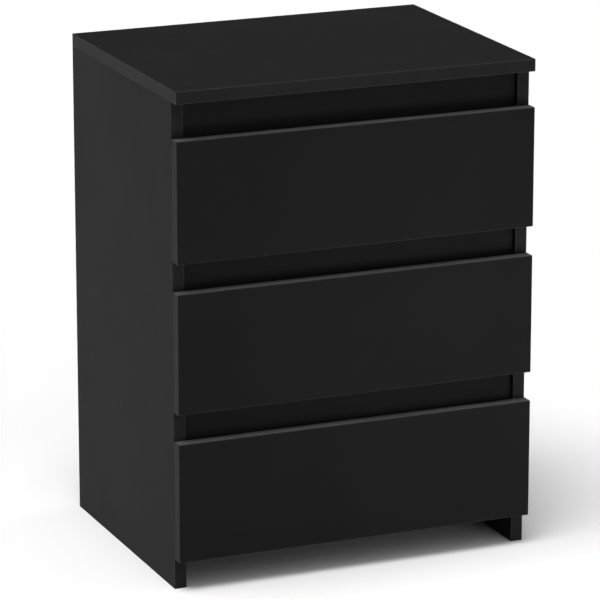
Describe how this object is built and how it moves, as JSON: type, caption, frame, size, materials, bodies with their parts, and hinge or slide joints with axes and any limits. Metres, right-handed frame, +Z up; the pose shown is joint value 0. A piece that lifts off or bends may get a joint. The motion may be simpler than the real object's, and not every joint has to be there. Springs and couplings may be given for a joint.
{
  "type": "nightstand",
  "caption": "Black bedside cabinet with handle-free drawers on roller runners, pulled open by the top edges of their fronts.",
  "frame": {"origin": "on the floor, below the centre of the footprint", "axes": "+Z up, the drawers open towards -Y, +X to the right seen from the front"},
  "size_m": [0.45, 0.344, 0.598],
  "materials": {
    "black_board": "matt black coated particle board with matching edge bands",
    "black_hardboard": "thin hardboard, black on the show face",
    "zinc_steel": "bright zinc plating",
    "coated_runner": "white powder coat, slightly textured",
    "white_nylon": "moulded nylon",
    "beech": "plain fluted beech dowel"
  },
  "bodies": {
    "cabinet": {"top_panel": "black_board", "side_panel_left": "black_board", "side_panel_right": "black_board", "bottom_panel": "black_board", "back_panel": "black_hardboard", "top_rail": "black_board", "middle_rail_upper": "black_board", "middle_rail_lower": "black_board", "carcass_cam_locks": "zinc_steel", "carcass_cam_bolts": "zinc_steel", "carcass_dowels": "beech", "back_panel_nails": "zinc_steel", "cabinet_runner_screws": "zinc_steel", "cabinet_runner_left_1": "coated_runner", "cabinet_runner_right_1": "coated_runner", "cabinet_runner_left_2": "coated_runner", "cabinet_runner_right_2": "coated_runner", "cabinet_runner_left_3": "coated_runner", "cabinet_runner_right_3": "coated_runner"},
    "drawer_1": {"drawer_1_front": "black_board", "drawer_1_side_left": "black_board", "drawer_1_side_right": "black_board", "drawer_1_back": "black_board", "drawer_1_bottom": "black_hardboard", "drawer_1_cam_locks": "zinc_steel", "drawer_1_cam_bolts": "zinc_steel", "drawer_1_back_screws": "zinc_steel", "drawer_1_runner_screws": "zinc_steel", "drawer_1_runner_left": "coated_runner", "drawer_1_runner_right": "coated_runner"},
    "drawer_2": {"drawer_2_front": "black_board", "drawer_2_side_left": "black_board", "drawer_2_side_right": "black_board", "drawer_2_back": "black_board", "drawer_2_bottom": "black_hardboard", "drawer_2_cam_locks": "zinc_steel", "drawer_2_cam_bolts": "zinc_steel", "drawer_2_back_screws": "zinc_steel", "drawer_2_runner_screws": "zinc_steel", "drawer_2_runner_left": "coated_runner", "drawer_2_runner_right": "coated_runner"},
    "drawer_3": {"drawer_3_front": "black_board", "drawer_3_side_left": "black_board", "drawer_3_side_right": "black_board", "drawer_3_back": "black_board", "drawer_3_bottom": "black_hardboard", "drawer_3_cam_locks": "zinc_steel", "drawer_3_cam_bolts": "zinc_steel", "drawer_3_back_screws": "zinc_steel", "drawer_3_runner_screws": "zinc_steel", "drawer_3_runner_left": "coated_runner", "drawer_3_runner_right": "coated_runner"},
    "front_rollers_1": {"cabinet_front_rollers_1": "white_nylon"},
    "rear_rollers_1": {"drawer_1_rear_rollers": "white_nylon"},
    "front_rollers_2": {"cabinet_front_rollers_2": "white_nylon"},
    "rear_rollers_2": {"drawer_2_rear_rollers": "white_nylon"},
    "front_rollers_3": {"cabinet_front_rollers_3": "white_nylon"},
    "rear_rollers_3": {"drawer_3_rear_rollers": "white_nylon"}
  },
  "joints": [
    {"name": "drawer_1_slide", "type": "slide", "parent": "cabinet", "child": "drawer_1", "axis": [0, -1, 0], "range_m": [0, 0.225]},
    {"name": "drawer_2_slide", "type": "slide", "parent": "cabinet", "child": "drawer_2", "axis": [0, -1, 0], "range_m": [0, 0.225]},
    {"name": "drawer_3_slide", "type": "slide", "parent": "cabinet", "child": "drawer_3", "axis": [0, -1, 0], "range_m": [0, 0.225]},
    {"name": "front_rollers_1_spin", "type": "hinge", "parent": "cabinet", "child": "front_rollers_1", "pos_m": [0, -0.1415, 0.4299], "axis": [1, 0, 0], "continuous": true},
    {"name": "rear_rollers_1_spin", "type": "hinge", "parent": "drawer_1", "child": "rear_rollers_1", "pos_m": [0, 0.132, 0.427], "axis": [1, 0, 0], "continuous": true},
    {"name": "front_rollers_2_spin", "type": "hinge", "parent": "cabinet", "child": "front_rollers_2", "pos_m": [0, -0.1415, 0.2504], "axis": [1, 0, 0], "continuous": true},
    {"name": "rear_rollers_2_spin", "type": "hinge", "parent": "drawer_2", "child": "rear_rollers_2", "pos_m": [0, 0.132, 0.2475], "axis": [1, 0, 0], "continuous": true},
    {"name": "front_rollers_3_spin", "type": "hinge", "parent": "cabinet", "child": "front_rollers_3", "pos_m": [0, -0.1415, 0.0709], "axis": [1, 0, 0], "continuous": true},
    {"name": "rear_rollers_3_spin", "type": "hinge", "parent": "drawer_3", "child": "rear_rollers_3", "pos_m": [0, 0.132, 0.068], "axis": [1, 0, 0], "continuous": true}
  ],
  "couplings": [
    {"joint": "front_rollers_1_spin", "follows": "drawer_1_slide", "rad_per_m": 100},
    {"joint": "rear_rollers_1_spin", "follows": "drawer_1_slide", "rad_per_m": 100},
    {"joint": "front_rollers_2_spin", "follows": "drawer_2_slide", "rad_per_m": 100},
    {"joint": "rear_rollers_2_spin", "follows": "drawer_2_slide", "rad_per_m": 100},
    {"joint": "front_rollers_3_spin", "follows": "drawer_3_slide", "rad_per_m": 100},
    {"joint": "rear_rollers_3_spin", "follows": "drawer_3_slide", "rad_per_m": 100}
  ]
}
